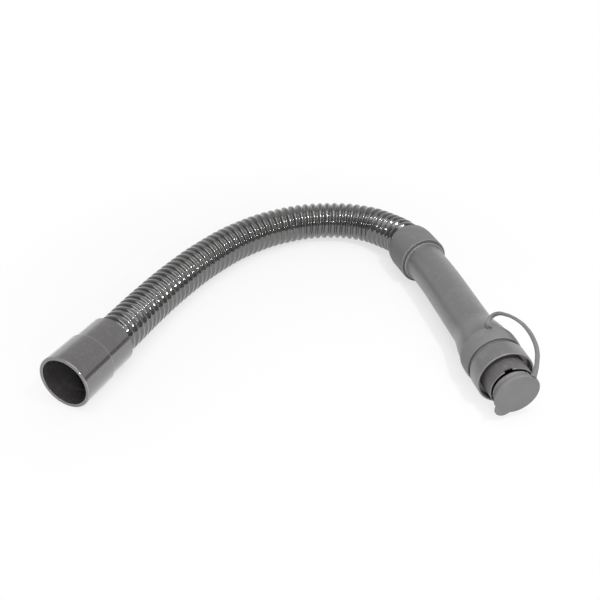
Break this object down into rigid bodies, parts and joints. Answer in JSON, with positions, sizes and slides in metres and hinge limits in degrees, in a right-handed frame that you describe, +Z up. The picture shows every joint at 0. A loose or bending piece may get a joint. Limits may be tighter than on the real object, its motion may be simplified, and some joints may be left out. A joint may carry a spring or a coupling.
{
  "type": "dirty water drain hose",
  "caption": "Ribbed drain hose with a push-on inlet cuff and a soft drain pipe, closed by a plug cap on a strap.",
  "frame": {"origin": "middle of the footprint, on the floor that the hose lies on", "axes": "+Z up from the floor, +X across both ends towards the capped drain end, +Y from the two ends towards the hose's bend"},
  "size_m": [0.48, 0.3786, 0.0774],
  "materials": {
    "inlet_cuff": "smooth moulded grey plastic, glossy",
    "ribbed_hose": "dark grey ribbed plastic, half gloss",
    "outlet_cuff": "soft grey rubber, matt",
    "drain_pipe": "soft grey rubber, satin",
    "drain_neck": "grey moulded plastic, matt",
    "tethered_cap": "soft grey rubber, matt"
  },
  "bodies": {
    "root": {"inlet_cuff": "inlet_cuff", "ribbed_hose": "ribbed_hose", "outlet_cuff": "outlet_cuff", "drain_pipe": "drain_pipe", "drain_neck": "drain_neck", "tethered_cap": "tethered_cap"}
  },
  "joints": []
}
